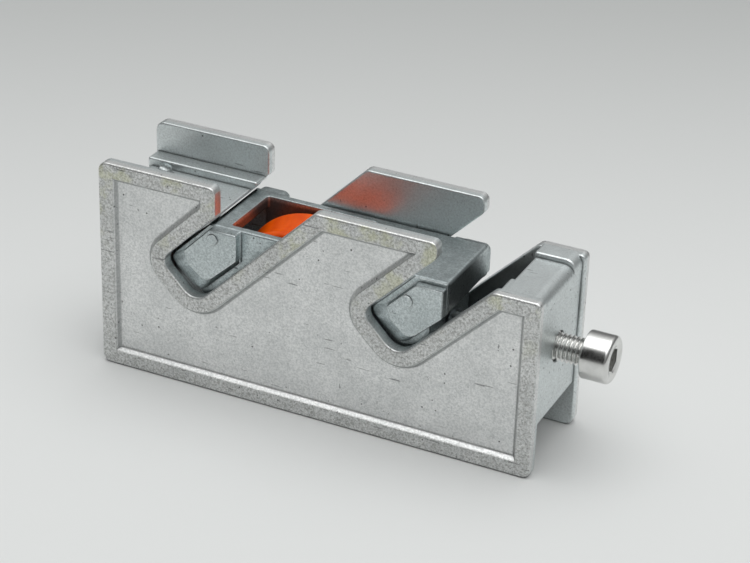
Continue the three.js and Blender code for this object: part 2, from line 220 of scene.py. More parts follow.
# ---- mesh building ----------------------------------------------------------------------------
class Shell:
    """A closed mesh made from rings of points."""

    def __init__(self):
        self.mesh = bmesh.new()

    def ring(self, points):
        """Adds points given in millimetres from the datum."""
        verts = []
        for x, y, z in points:
            verts.append(self.mesh.verts.new((DATUM_X + x * MM, y * MM, z * MM)))
        return verts

    def skin(self, a, b):
        """Joins two rings with the same number of points."""
        for i in range(len(a)):
            self.mesh.faces.new((a[i - 1], a[i], b[i], b[i - 1]))

    def loft(self, rings):
        for a, b in zip(rings, rings[1:]):
            self.skin(a, b)

    def cap(self, ring):
        self.mesh.faces.new(ring)

    def cap_between(self, outer, inner):
        """Fills the flat face between an outline and a hole in it."""
        edges = []
        for loop in (outer, inner):
            for i in range(len(loop)):
                edges.append(self.mesh.edges.get((loop[i - 1], loop[i])))
        bmesh.ops.triangle_fill(self.mesh, use_beauty=True, edges=edges)

    def finish(self, name):
        bmesh.ops.recalc_face_normals(self.mesh, faces=self.mesh.faces)
        data = bpy.data.meshes.new(name)
        self.mesh.to_mesh(data)
        self.mesh.free()
        piece = bpy.data.objects.new(name, data)
        bpy.context.scene.collection.objects.link(piece)
        return piece


def slab(name, outline, y0, y1, round0=0.0, round1=0.0):
    """Prism along y from an outline in x and z, with its end edges rounded."""
    shell = Shell()
    sections = []
    for distance, depth in (edge_round(round0) if round0 else [(0, 0)]):
        sections.insert(0, (distance, y0 + depth))
    for distance, depth in (edge_round(round1) if round1 else [(0, 0)]):
        sections.append((distance, y1 - depth))
    rings = []
    for distance, y in sections:
        rings.append(shell.ring([(p.x, y, p.y) for p in inset(outline, distance)]))
    shell.loft(rings)
    shell.cap(rings[0])
    shell.cap(rings[-1])
    return shell.finish(name)


def revolve(name, profile, centre, axis="y", segments=96):
    """Solid of revolution; profile is a list of (radius, distance along the axis)."""
    shell = Shell()
    rings = []
    poles = []
    for radius, along in profile:
        ring = []
        count = 1 if radius == 0 else segments
        for k in range(count):
            angle = 2 * math.pi * k / segments
            u = radius * math.cos(angle)
            v = radius * math.sin(angle)
            if axis == "y":
                ring.append((centre[0] + u, centre[1] + along, centre[2] + v))
            else:
                ring.append((centre[0] + along, centre[1] + u, centre[2] + v))
        rings.append(shell.ring(ring))
        poles.append(count == 1)
    closed = not (poles[0] or poles[-1])
    pairs = list(zip(rings, rings[1:])) + ([(rings[-1], rings[0])] if closed else [])
    for a, b in pairs:
        if len(a) == len(b):
            shell.skin(a, b)
            continue
        hub, rim = (a, b) if len(a) == 1 else (b, a)
        for k in range(len(rim)):
            shell.mesh.faces.new((rim[k - 1], rim[k], hub[0]))
    return shell.finish(name)


def arc(radius, along, r, start, end, steps):
    """Profile points on an arc of radius r round (radius, along); angles in degrees."""
    points = []
    for k in range(steps + 1):
        angle = math.radians(start + (end - start) * k / steps)
        points.append((radius + r * math.cos(angle), along + r * math.sin(angle)))
    return points


def combine(base, others, operation):
    """Joins or cuts base with each of the other solids in turn, and removes those."""
    for other in others:
        step = base.modifiers.new(operation, "BOOLEAN")
        step.operation = operation
        step.solver = "EXACT"
        step.object = other
        graph = bpy.context.evaluated_depsgraph_get()
        result = bpy.data.meshes.new_from_object(base.evaluated_get(graph))
        base.modifiers.clear()
        base.data = result
        bpy.data.objects.remove(other)
    return base


def smooth(piece, angle=32):
    """Smooth shading that keeps sharp corners, with flat faces kept flat."""
    piece.data.shade_smooth()
    piece.data.set_sharp_from_angle(angle=math.radians(angle))
    weighted = piece.modifiers.new("normals", "WEIGHTED_NORMAL")
    weighted.keep_sharp = True
    weighted.weight = 80


def finish_piece(piece, body, slot, material, *nodes, angle=32):
    """Shading, material, body and CAD nodes of one finished piece."""
    smooth(piece, angle)
    piece.data.materials.clear()
    piece.data.materials.append(material)
    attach(piece, body)
    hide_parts(*nodes)
    return piece


# ---- materials ----------------------------------------------------------------------------------
class Surface:
    """A principled material whose inputs are fed by small node chains."""

    def __init__(self, name, **values):
        self.material = bpy.data.materials.new(name)
        self.material.use_nodes = True
        self.tree = self.material.node_tree
        self.shader = self.tree.nodes["Principled BSDF"]
        for key, value in values.items():
            self.shader.inputs[key.replace("_", " ")].default_value = value
        self.place = self.node("ShaderNodeTexCoord").outputs["Object"]

    def node(self, kind, **settings):
        made = self.tree.nodes.new(kind)
        for key, value in settings.items():
            setattr(made, key, value)
        return made

    def link(self, source, target):
        self.tree.links.new(source, target)

    def feed(self, socket, value):
        if isinstance(value, bpy.types.NodeSocket):
            self.link(value, socket)
        else:
            socket.default_value = value

    def noise(self, size_mm, detail=4.0, rough=0.55, stretch=(1, 1, 1), offset=0.0):
        """Noise whose features are about size_mm across."""
        mapping = self.node("ShaderNodeMapping")
        mapping.inputs["Scale"].default_value = stretch
        mapping.inputs["Location"].default_value = (offset, offset, offset)
        self.link(self.place, mapping.inputs["Vector"])
        noise = self.node("ShaderNodeTexNoise")
        noise.inputs["Scale"].default_value = 1 / (size_mm * MM)
        noise.inputs["Detail"].default_value = detail
        noise.inputs["Roughness"].default_value = rough
        self.link(mapping.outputs["Vector"], noise.inputs["Vector"])
        return noise.outputs["Fac"]

    def spots(self, spacing_mm, radius):
        """1 inside small scattered spots and 0 between them."""
        cells = self.node("ShaderNodeTexVoronoi")
        cells.inputs["Scale"].default_value = 1 / (spacing_mm * MM)
        self.link(self.place, cells.inputs["Vector"])
        return self.ramp(cells.outputs["Distance"], radius, radius * 1.6, 1, 0)

    def ramp(self, value, low, high, out_low=0.0, out_high=1.0):
        span = self.node("ShaderNodeMapRange")
        span.interpolation_type = "SMOOTHSTEP"
        self.feed(span.inputs["Value"], value)
        span.inputs["From Min"].default_value = low
        span.inputs["From Max"].default_value = high
        span.inputs["To Min"].default_value = out_low
        span.inputs["To Max"].default_value = out_high
        return span.outputs["Result"]

    def math(self, operation, a, b=0.0, c=None):
        made = self.node("ShaderNodeMath", operation=operation)
        self.feed(made.inputs[0], a)
        self.feed(made.inputs[1], b)
        if c is not None:
            self.feed(made.inputs[2], c)
        return made.outputs[0]

    def mix(self, factor, a, b):
        made = self.node("ShaderNodeMix", data_type="RGBA")
        self.feed(made.inputs["Factor"], factor)
        self.feed(made.inputs["A"], a)
        self.feed(made.inputs["B"], b)
        return made.outputs["Result"]

    def edges(self, radius_mm=0.5):
        """Near 1 on outside edges and corners, 0 on flat faces."""
        soft = self.node("ShaderNodeBevel", samples=6)
        soft.inputs["Radius"].default_value = radius_mm * MM
        geometry = self.node("ShaderNodeNewGeometry")
        dot = self.node("ShaderNodeVectorMath", operation="DOT_PRODUCT")
        self.link(soft.outputs["Normal"], dot.inputs[0])
        self.link(geometry.outputs["Normal"], dot.inputs[1])
        return self.ramp(dot.outputs["Value"], 0.995, 0.86, 0, 1)

    def crevices(self, distance_mm, closed=0.35, open_=0.95):
        """Near 1 in corners and narrow gaps, 0 in the open."""
        occlusion = self.node("ShaderNodeAmbientOcclusion", samples=8)
        occlusion.inputs["Distance"].default_value = distance_mm * MM
        return self.ramp(occlusion.outputs["AO"], closed, open_, 1, 0)

    def bump(self, height, strength, distance_mm, before=None):
        made = self.node("ShaderNodeBump")
        made.inputs["Strength"].default_value = strength
        made.inputs["Distance"].default_value = distance_mm * MM
        self.link(height, made.inputs["Height"])
        if before is not None:
            self.link(before, made.inputs["Normal"])
        return made.outputs["Normal"]

    def facing(self, axis):
        """One component of the surface's direction."""
        parts = self.node("ShaderNodeSeparateXYZ")
        self.link(self.node("ShaderNodeNewGeometry").outputs["Normal"], parts.inputs[0])
        return parts.outputs[axis]

    def where(self, axis):
        """Position along one axis, in metres."""
        parts = self.node("ShaderNodeSeparateXYZ")
        self.link(self.place, parts.inputs[0])
        return parts.outputs[axis]


def painted_dark_bevel(s):
    """1 on the sloped sides of the recess, which are painted dark as shaded bevels; 0 on the
    upward-facing bottom one.
    """
    y = s.math("ABSOLUTE", s.where("Y"))
    deep = s.ramp(y, (OUTER - 0.99) * MM, (OUTER - 0.9) * MM)
    below_rim = s.ramp(y, (OUTER - 0.5) * MM, (OUTER - 0.3) * MM, 1, 0)
    sloped = s.ramp(s.math("ABSOLUTE", s.facing("Y")), 0.15, 0.3)
    not_up = s.ramp(s.facing("Z"), 0.1, 0.4, 1, 0)
    return s.math("MULTIPLY", s.math("MULTIPLY", deep, below_rim), s.math("MULTIPLY", sloped, not_up))


def housing_shade(s):
    """Painted shade: inner faces low in the channel between the plates, and the recess bevels."""
    inside = s.ramp(s.math("ABSOLUTE", s.where("Y")), (INNER + 0.1) * MM, (INNER + 0.3) * MM, 1, 0)
    low = s.ramp(s.where("Z"), 28 * MM, 33.5 * MM, 1, 0)
    past_start = s.ramp(s.where("X"), DATUM_X + 1 * MM, DATUM_X + 6 * MM)
    wall = DATUM_X + BLOCK_LEFT * MM
    before_wall = s.ramp(s.where("X"), wall, wall + 0.5 * MM, 1, 0)
    between_ends = s.math("MULTIPLY", past_start, before_wall)
    # painted shade low on the channel's inner faces, between the closed end and the block
    channel = s.math("MULTIPLY", s.math("MULTIPLY", inside, low), between_ends)
    return s.math("MAXIMUM", channel, s.math("MULTIPLY", painted_dark_bevel(s), 0.6))


def carrier_shade(s):
    """Painted shade on the carrier's end face and inside its window; its upward faces darkened in
    mottled patches.
    """
    # painted shade on the end face, strongest towards the front
    end = s.ramp(s.where("X"), DATUM_X + (CARRIER_LIP - 0.45) * MM, DATUM_X + (CARRIER_LIP - 0.2) * MM)
    end = s.math("MULTIPLY", end, s.ramp(s.where("Y"), -2 * MM, 8.5 * MM, 0.85, 0.2))
    # upward faces darkened in mottled patches
    top_mottle = s.ramp(s.noise(1.5, 5, 0.7), 0.3, 0.7, 0.6, 0.2)
    top = s.math("MULTIPLY", s.ramp(s.facing("Z"), 0.6, 0.9), top_mottle)
    # painted shade on the window's inner walls, under its top edge
    left = DATUM_X + WINDOW_LEFT * MM
    right = DATUM_X + WINDOW_RIGHT * MM
    from_left = s.ramp(s.where("X"), left - 0.6 * MM, left - 0.3 * MM)
    from_right = s.ramp(s.where("X"), right + 0.3 * MM, right + 0.6 * MM, 1, 0)
    under = s.ramp(s.where("Z"), (CARRIER_TOP - 1.2) * MM, (CARRIER_TOP - 0.3) * MM, 1, 0)
    across = s.math("ABSOLUTE", s.where("Y"))
    between = s.ramp(across, (WINDOW_HALF + 0.2) * MM, (WINDOW_HALF + 0.4) * MM, 1, 0)
    along = s.math("MULTIPLY", from_left, from_right)
    window = s.math("MULTIPLY", along, s.math("MULTIPLY", under, between))
    return s.math("MAXIMUM", s.math("MAXIMUM", end, top), window)


def die_cast(name, light, dark, stain_strength, shade, cavity):
    """Tumbled, passivated zinc: mottled, pitted, worn on its rims and edges, with painted shade in its
    corners, gaps and shaded faces.
    """
    s = Surface(name, Metallic=1.0)
    broad = s.ramp(s.noise(8, 3), 0.35, 0.65)
    inner = s.ramp(s.math("ABSOLUTE", s.where("Y")), (OUTER - 1.6) * MM, (OUTER - 1.15) * MM, 1, 0)
    fine = s.ramp(s.noise(0.4, 6, 0.75), 0.38, 0.62)
    speck = s.ramp(s.noise(0.3, 3, 0.65, offset=3), 0.5, 0.66)
    patch = s.ramp(s.noise(2.2, 4, 0.7, offset=13), 0.42, 0.62)
    on_rim = s.ramp(s.math("ABSOLUTE", s.where("Y")), (OUTER - 0.3) * MM, (OUTER - 0.1) * MM)
    # painted shade: faces inside the outer plate faces are tinted darker and bluer, the tone they take
    # in shade
    color = s.mix(s.math("MULTIPLY", inner, 0.6), light, (0.72, 0.80, 0.81, 1))
    color = s.mix(s.math("MULTIPLY", fine, 0.45), color, dark)
    color = s.mix(s.math("MULTIPLY", broad, 0.2), color, dark)
    color = s.mix(s.math("MULTIPLY", s.math("MULTIPLY", speck, patch), 0.55), color, dark)
    grime = s.ramp(s.noise(0.4, 5, 0.8, offset=17), 0.46, 0.6)
    grime = s.math("MULTIPLY", on_rim, s.math("MULTIPLY_ADD", grime, 0.42, 0.08))
    color = s.mix(grime, color, (0.17, 0.165, 0.145, 1))
    stain = s.ramp(s.noise(5.5, 5, 0.6, offset=7), 0.5, 0.66)
    high = s.ramp(s.where("Z"), 20 * MM, 34 * MM)
    reach = s.math("MULTIPLY", high, stain_strength)
    stain = s.math("MULTIPLY", s.math("MULTIPLY", stain, on_rim), reach)
    color = s.mix(stain, color, (0.60, 0.61, 0.30, 1))
    pits = s.math("MULTIPLY", s.spots(2.2, 0.06), s.ramp(s.noise(5, 2, offset=11), 0.42, 0.56))
    hairs = s.ramp(s.noise(0.8, 2, 0.5, stretch=(0.1, 1, 1.4), offset=5), 0.69, 0.72)
    cracks = s.ramp(s.noise(1.1, 3, 0.6, stretch=(1, 1, 0.35), offset=34), 0.71, 0.74)
    marks = s.math("MAXIMUM", pits, s.math("MULTIPLY", s.math("MAXIMUM", hairs, cracks), 0.6))
    color = s.mix(s.math("MULTIPLY", marks, 0.8), color, (0.05, 0.05, 0.055, 1))
    worn = s.edges(0.4)
    shine = s.math("MULTIPLY", worn, s.math("MULTIPLY_ADD", fine, -0.4, 0.6))
    color = s.mix(shine, color, (0.88, 0.89, 0.88, 1))
    # painted shade: darker in tight corners and narrow gaps, from ambient occlusion
    color = s.mix(s.math("MULTIPLY", s.crevices(0.5, 0.5, 0.97), 0.6), color, (0.07, 0.075, 0.08, 1))
    # painted shade: darker deep in cavities, from ambient occlusion over a wider reach
    color = s.mix(s.math("MULTIPLY", s.crevices(9, 0.1, 0.6), cavity), color, (0.10, 0.105, 0.11, 1))
    # painted shade from the part's shade function
    color = s.mix(s.math("MULTIPLY", shade(s), 0.75), color, (0.10, 0.11, 0.115, 1))
    s.link(color, s.shader.inputs["Base Color"])
    rough = s.math("ADD", 0.36, s.math("MULTIPLY", fine, 0.16))
    rough = s.math("SUBTRACT", rough, s.math("MULTIPLY", worn, 0.12))
    rough = s.math("ADD", rough, s.math("MULTIPLY", s.math("MAXIMUM", marks, grime), 0.3))
    s.link(rough, s.shader.inputs["Roughness"])
    grain = s.bump(s.noise(0.3, 5, 0.6, offset=2), 0.45, 0.03)
    streaks = s.bump(s.noise(1.0, 3, 0.6, stretch=(1, 0.3, 1.6), offset=15), 0.4, 0.05, grain)
    wavy = s.bump(s.noise(4, 2, offset=9), 0.3, 0.12, streaks)
    s.link(s.bump(marks, -0.6, 0.08, wavy), s.shader.inputs["Normal"])
    return s.material


def plated_steel(name, color, base_rough, stretch):
    """Bright plated steel with faint turning marks and a little haze."""
    s = Surface(name, Metallic=1.0)
    haze = s.ramp(s.noise(2.5, 4), 0.35, 0.7)
    turning = s.noise(0.12, 2, 0.5, stretch=stretch)
    worn = tuple(c * 0.6 for c in color[:3]) + (1,)
    tint = s.mix(s.math("MULTIPLY", haze, 0.3), color, worn)
    tint = s.mix(s.ramp(turning, 0.45, 0.7, 0, 0.4), tint, worn)
    # painted shade: brownish dark in corners and narrow gaps, from ambient occlusion
    crevice_shade = s.math("MULTIPLY", s.crevices(0.5), 0.3)
    s.link(s.mix(crevice_shade, tint, (0.12, 0.11, 0.09, 1)), s.shader.inputs["Base Color"])
    s.link(s.math("ADD", base_rough, s.math("MULTIPLY", haze, 0.1)), s.shader.inputs["Roughness"])
    s.link(s.bump(turning, 0.12, 0.01), s.shader.inputs["Normal"])
    return s.material


def moulded_nylon(name, color, shade, rough):
    """Semi-gloss moulded polyamide with slight flow marks and scuffs from running."""
    s = Surface(name, Specular_IOR_Level=0.2, Subsurface_Weight=0.05, Subsurface_Scale=0.002)
    s.shader.inputs["Subsurface Radius"].default_value = (1.0, 0.25, 0.1)
    flow = s.ramp(s.noise(3, 4, stretch=(1, 0.4, 1)), 0.35, 0.65)
    scuff = s.ramp(s.noise(0.5, 5, 0.7, stretch=(1, 3, 1), offset=4), 0.55, 0.75)
    tone = s.mix(s.math("MULTIPLY", flow, 0.5), color, shade)
    s.link(s.mix(s.math("MULTIPLY", scuff, 0.15), tone, shade), s.shader.inputs["Base Color"])
    s.link(s.math("ADD", rough, s.math("MULTIPLY", scuff, 0.2)), s.shader.inputs["Roughness"])
    s.link(s.bump(s.noise(0.4, 4, 0.6), 0.15, 0.03), s.shader.inputs["Normal"])
    return s.material


ZINC_LIGHT = die_cast("zinc_light", (0.88, 0.885, 0.88, 1), (0.46, 0.48, 0.48, 1),
                      0.35, housing_shade, 0.1)
ZINC_DARK = die_cast("zinc_dark", (0.68, 0.735, 0.74, 1), (0.24, 0.285, 0.295, 1),
                     0.0, carrier_shade, 0.1)
PLATED = plated_steel("plated_steel", (0.78, 0.78, 0.765, 1), 0.17, (9, 0.3, 0.3))
POLISHED = plated_steel("bearing_steel", (0.72, 0.73, 0.75, 1), 0.2, (0.3, 8, 0.3))
ORANGE = moulded_nylon("orange_nylon", (0.80, 0.10, 0.0, 1), (0.58, 0.04, 0.0, 1), 0.45)
BLACK = moulded_nylon("black_nylon", (0.03, 0.03, 0.032, 1), (0.015, 0.015, 0.016, 1), 0.5)


# ---- housing --------------------------------------------------------------------------------------
def side_plate(side):
    """One side plate: rounded outline, raised rim, bevelled recess. side is -1 front, 1 back."""
    shell = Shell()
    outline = rounded(plate_corners())
    panel = rounded(inset_corners(plate_corners(), RIM))
    rings = []
    for distance, depth in reversed(edge_round(0.3, 3)):
        rings.append((distance, INNER + depth))
    for distance, depth in edge_round(0.42):
        rings.append((distance, OUTER - depth))
    walls = []
    for distance, y in rings:
        walls.append(shell.ring([(p.x, side * y, p.y) for p in inset(outline, distance)]))
    shell.loft(walls)
    shell.cap(walls[0])
    slope = [(-0.08, 0), (0.0, 0.04), (0.08, 0.16), (0.45, 0.68), (0.62, 0.85), (0.82, 0.96),
             (1.05, PANEL_DEPTH)]
    steps = []
    for distance, depth in slope:
        points = inset(panel, distance)
        steps.append(shell.ring([(p.x, side * (OUTER - depth), p.y) for p in points]))
    shell.loft(steps)
    shell.cap(steps[-1])
    shell.cap_between(walls[-1], steps[0])
    return shell.finish("side_plate")


def fixing_hole():
    """Oblong hole across the web, with a rounded mouth."""
    width, length, x = 5.0, 9.4, 4.75
    shell = Shell()
    straight = (length - width) / 2
    flare = [(0, WEB_TOP - 6), (0, WEB_TOP - 0.7), (0.1, WEB_TOP - 0.3), (0.3, WEB_TOP + 0.02),
             (0.4, 38)]
    rings = []
    for grow, z in flare:
        points = []
        for k in range(48):
            angle = 2 * math.pi * k / 48
            shift = straight if math.sin(angle) > 0 else -straight
            radius = width / 2 + grow
            points.append((x + radius * math.cos(angle), shift + radius * math.sin(angle), z))
        rings.append(shell.ring(points))
    shell.loft(rings)
    shell.cap(rings[0])
    shell.cap(rings[-1])
    return shell.finish("fixing_hole")


def build_housing():
    reach = INNER + 0.6
    under = WEB_TOP - 3.2
    closed_end = rounded([
        (0.5, WALL_BOTTOM, 0.4),
        (3.7, WALL_BOTTOM, 0.4),
        (3.7, under, 1.2),
        (under - SLOT_UPPER, under, 0.4),
        (WEB_TOP - SLOT_UPPER + 0.5, WEB_TOP, 0.35),
        (0.5, WEB_TOP, 0.8),
    ], 5)
    ledge = rounded([
        (0.25, WEB_TOP - 1, 0),
        (WEB_TOP - 1.4 - SLOT_UPPER + 0.6, WEB_TOP - 1, 0),
        (LEDGE_TOP - SLOT_UPPER + 0.2, LEDGE_TOP, 0.4),
        (0.25, LEDGE_TOP, 0.4),
    ], 5)
    block = rounded([
        (80, WALL_BOTTOM, 0.4),
        (WALL_FACE, WALL_BOTTOM, 0.5),
        (WALL_FACE, BLOCK_TOP, 2.2),
        (BLOCK_LEFT, BLOCK_TOP, 0.5),
        (BLOCK_LEFT, BLOCK_TOP - 3.9, 0.5),
        (80, BLOCK_TOP - 3.9, 1.5),
    ], 7)
    step = rounded([
        (BLOCK_LEFT - 0.2, BLOCK_TOP - 2, 0),
        (WALL_FACE + 0.05, BLOCK_TOP - 2, 0),
        (WALL_FACE + 0.05, BLOCK_TOP + 0.85, 2.0),
        (BLOCK_LEFT - 0.2, BLOCK_TOP + 0.85, 0.5),
    ], 5)
    jog = rounded([
        (BLOCK_LEFT - 0.7, BLOCK_TOP - 3.5, 0),
        (BLOCK_LEFT + 1, BLOCK_TOP - 3.5, 0),
        (BLOCK_LEFT + 1, BLOCK_TOP - 0.02, 0),
        (BLOCK_LEFT - 0.7, BLOCK_TOP - 0.02, 0.5),
    ], 5)
    screw_axis = (0, 0, SCREW_Z)
    boss_profile = [(0, BLOCK_LEFT), *arc(5.6, BLOCK_LEFT + 0.4, 0.4, -90, 0, 4), (6, 81), (0, 81)]
    boss = revolve("boss", boss_profile, screw_axis, "x", 64)
    housing = combine(side_plate(-1), [
        side_plate(1),
        slab("closed_end", closed_end, -reach, reach),
        slab("ledge", ledge, 5.4, reach, 0.35),
        slab("block", block, -reach, reach),
        slab("step", step, 5.6, reach, 0.45),
        slab("jog", jog, -reach, -3.5, 0, 0.4),
        boss,
    ], "UNION")
    mouth = WALL_FACE - 0.6
    bore = revolve("bore", [(0, 70), (3.6, 70), (3.6, mouth), (2.8, mouth), (2.8, WALL_FACE - 0.12),
                            (3.1, WALL_FACE + 0.18), (3.1, 95), (0, 95)], screw_axis, "x", 64)
    dimple_profile = [(0, -1.5), (0.5, -1.3), (0.85, -0.8), (1.0, 0), (0.85, 0.8), (0.5, 1.3),
                      (0, 1.5)]
    dimple = revolve("dimple", dimple_profile, (4.05, 5.05, 33.55), "x", 40)
    combine(housing, [fixing_hole(), bore, dimple], "DIFFERENCE")
    housing.name = "housing_casting"
    finish_piece(housing, "housing", "housing", ZINC_LIGHT, "housing")


def build_insert():
    """Steel thread insert in the end wall."""
    left = BLOCK_LEFT + 0.2
    right = WALL_FACE - 0.65
    outer = 3.4
    bore = THREAD_R + 0.08
    profile = [(bore, left + 0.3), (bore + 0.25, left), (outer - 0.2, left), (outer, left + 0.2),
               (outer, right - 0.08), (outer - 0.06, right), (bore + 0.3, right), (bore, right - 0.3)]
    insert = revolve("insert_sleeve", profile, (0, 0, SCREW_Z), "x", 64)
    finish_piece(insert, "housing", "plated_steel", PLATED, "threaded_insert")


# ---- wheel carrier --------------------------------------------------------------------------------
def trunnion(shift, drop, side):
    """A trunnion lofted from its outer face down to a larger foot whose nose reaches further."""
    corner = 0.4 if side < 0 else 1.3
    face = [(17.9, 23.9, 1.4), (21.3, 21.2, 1.9), (27.3, 26.8, 0.5), (27.3, 31.95, corner),
            (22.1, 31.95, corner), (16.8, 26.5, 0.8)]
    top = CARRIER_TOP - 0.05
    foot = [(14.6, 22.0, 3.0), (19.2, 18.1, 2.3), (27.37, 26.0, 0.4), (27.37, top, 0.3),
            (top - CARRIER_UPPER - 0.5, top, 0.3), (13.25, 23.9, 1.1)]
    shell = Shell()
    inner = [Vector((p.x + shift, p.y)) for p in rounded(foot, 6)]
    outer = [Vector((p.x + shift, p.y - drop)) for p in rounded(face, 6)]
    base = CARRIER_SIDE - 0.4
    depth = TRUNNION_FACE - base
    rings = []
    for share, rise, chamfer in ((0, 0, 0), (0, 0.26, 0), (0.07, 0.31, 0), (0.9, 0.34, 0.42)):
        points = []
        for a, b in zip(inner, outer):
            below = min(1, max(0, (24.5 - a.y) / 3))
            p = a.lerp(b, share)
            points.append((p.x, side * (base + depth * (rise + chamfer * below)), p.y))
        rings.append(shell.ring(points))
    front_edge = ((0.0, 0.2), (0.1, 0.06), (0.28, 0.0))
    rear_edge = ((0.0, 0.45), (0.14, 0.14), (0.33, 0.0))
    for distance, setback in front_edge if side < 0 else rear_edge:
        y = side * (TRUNNION_FACE - setback)
        rings.append(shell.ring([(p.x, y, p.y) for p in inset(outer, distance)]))
    shell.loft(rings)
    shell.cap(rings[0])
    shell.cap(rings[-1])
    return shell.finish("trunnion")


def ejector_mark(x, z, radius, side):
    """Low round pad left by a moulding pin."""
    top = TRUNNION_FACE + 0.3
    profile = [(0, side * 9), (radius, side * 9), (radius, side * (top - 0.12)),
               (radius - 0.12, side * top), (0, side * top)]
    return revolve("ejector_mark", profile, (x, 0, z), "y", 32)


def build_carrier():
    outline = rounded([
        ((CARRIER_FOOT - CARRIER_UPPER) / 2, (CARRIER_FOOT + CARRIER_UPPER) / 2, 1.5),
        (CARRIER_FOOT - CARRIER_BOTTOM, CARRIER_BOTTOM, 3),
        (CARRIER_END - 3, CARRIER_BOTTOM, 1.2),
        (CARRIER_END, CARRIER_BOTTOM + 3, 1.2),
        (CARRIER_END, LIP_BOTTOM - 3, 1.0),
        (CARRIER_LIP, LIP_BOTTOM, 0.7),
        (CARRIER_LIP, CARRIER_TOP, 0.7),
        (CARRIER_TOP - CARRIER_UPPER, CARRIER_TOP, 0.7),
    ])
    body = slab("wheel_carrier_casting", outline, -CARRIER_SIDE, CARRIER_SIDE, 0.4, 0.4)
    pegs = []
    for shift, drop in ((0, 0), (SLOT_PITCH, REAR_TRUNNION_DROP)):
        for side in (-1, 1):
            pegs.append(trunnion(shift, drop, side))
    for side in (-1, 1):
        pegs.append(ejector_mark(22.7, 30.2, 1.05, side))
        pegs.append(ejector_mark(20.6 + SLOT_PITCH, 27.9, 1.2, side))
    combine(body, pegs, "UNION")
    roof = CARRIER_TOP - 2.2
    inside = CARRIER_SIDE - CHEEK
    slope = 2.5 * math.sqrt(2) - CARRIER_UPPER
    wheel_pocket = rounded([
        (RIB_LEFT, roof, 1.0),
        (roof + slope, roof, 1.0),
        (roof + slope - 22, roof - 22, 0),
        (10, -1, 0),
        (RIB_LEFT, -1, 0),
    ])
    end_pocket = rounded([
        (RIB_RIGHT, -1, 0),
        (CARRIER_END - 3, -1, 0),
        (CARRIER_END - 3, roof, 1.0),
        (RIB_RIGHT, roof, 1.0),
    ])
    window = Shell()
    corners = rounded([
        (WINDOW_LEFT, -WINDOW_HALF, 0.5),
        (WINDOW_RIGHT, -WINDOW_HALF, 0.5),
        (WINDOW_RIGHT, WINDOW_HALF, 0.5),
        (WINDOW_LEFT, WINDOW_HALF, 0.5),
    ], 5)
    rings = []
    for grow, z in ((0, roof - 1), (0, CARRIER_TOP - 0.3), (0.08, CARRIER_TOP - 0.1),
                    (0.3, CARRIER_TOP + 0.02), (0.4, CARRIER_TOP + 2)):
        rings.append(window.ring([(p.x, p.y, z) for p in inset(corners, -grow)]))
    window.loft(rings)
    window.cap(rings[0])
    window.cap(rings[-1])
    axle = revolve("axle_hole", [(0, -20), (4.0, -20), (4.0, 20), (0, 20)], AXLE, "y", 64)
    combine(body, [
        slab("wheel_pocket", wheel_pocket[::-1], -inside, inside),
        slab("end_pocket", end_pocket, -inside, inside),
        window.finish("window"),
        axle,
    ], "DIFFERENCE")
    finish_piece(body, "carrier", "carrier", ZINC_DARK, "wheel_carrier")


# ---- wheel and bearing --------------------------------------------------------------------------
def build_wheel():
    half = size_of("wheel_tyre", 1) / 2
    lip = BEARING_R - 0.8
    groove = []
    for k in range(17):
        t = -1 + 2 * k / 16
        groove.append((WHEEL_R - 1.1 * (1 - t * t), t * (half - 1.3)))
    profile = [
        (lip, -half + 0.5), (lip + 0.12, -half + 0.2), (lip + 0.4, -half),
        (BEARING_R + 1.6, -half), (BEARING_R + 1.8, -half + 0.35), (WHEEL_R - 1.9, -half + 0.35),
        (WHEEL_R - 1.7, -half),
        *arc(WHEEL_R - 0.8, -half + 0.8, 0.8, -90, 0, 6),
        *groove,
        *arc(WHEEL_R - 0.8, half - 0.8, 0.8, 0, 90, 6),
        (WHEEL_R - 1.7, half), (WHEEL_R - 1.9, half - 0.35), (BEARING_R + 1.8, half - 0.35),
        (BEARING_R + 1.6, half),
        (lip + 0.4, half), (lip + 0.12, half - 0.2), (lip, half - 0.5),
        (lip, BEARING_HALF + 0.1), (BEARING_R + 0.1, BEARING_HALF + 0.1),
        (BEARING_R + 0.1, -BEARING_HALF - 0.1), (lip, -BEARING_HALF - 0.1),
    ]
    wheel = revolve("wheel_rim_and_tread", profile, AXLE, "y", 128)
    finish_piece(wheel, "wheel", "tyre_nylon", ORANGE, "wheel_tyre")


